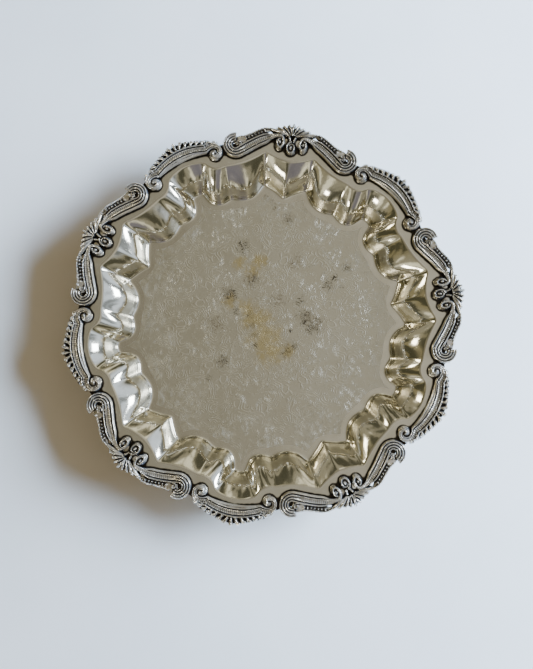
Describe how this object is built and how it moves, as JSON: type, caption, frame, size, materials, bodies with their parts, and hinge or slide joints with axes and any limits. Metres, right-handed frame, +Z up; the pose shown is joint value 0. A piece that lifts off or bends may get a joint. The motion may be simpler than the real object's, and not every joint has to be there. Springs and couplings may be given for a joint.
{
  "type": "fluted salver with cast scroll border",
  "caption": "Round silver-plated salver: a flat engraved well, a fluted wall and a plain flange under a cast border of shells and scrolls.",
  "frame": {"origin": "centre of the flat underside that the salver rests on", "axes": "+Z up out of the well; +Y towards the middle of the first shell; X = 0 is a mirror plane"},
  "size_m": [0.2918, 0.305, 0.031],
  "materials": {
    "silver_sheet": "polished",
    "silver_casting": "polished"
  },
  "bodies": {
    "root": {"dish": "silver_sheet", "shell_1": "silver_casting", "shell_2": "silver_casting", "shell_3": "silver_casting", "shell_4": "silver_casting", "shell_5": "silver_casting", "s_scroll_right_1": "silver_casting", "s_scroll_right_2": "silver_casting", "s_scroll_right_3": "silver_casting", "s_scroll_right_4": "silver_casting", "s_scroll_right_5": "silver_casting", "s_scroll_left_1": "silver_casting", "s_scroll_left_2": "silver_casting", "s_scroll_left_3": "silver_casting", "s_scroll_left_4": "silver_casting", "s_scroll_left_5": "silver_casting", "c_scroll_1": "silver_casting", "c_scroll_2": "silver_casting", "c_scroll_3": "silver_casting", "c_scroll_4": "silver_casting", "c_scroll_5": "silver_casting"}
  },
  "joints": []
}
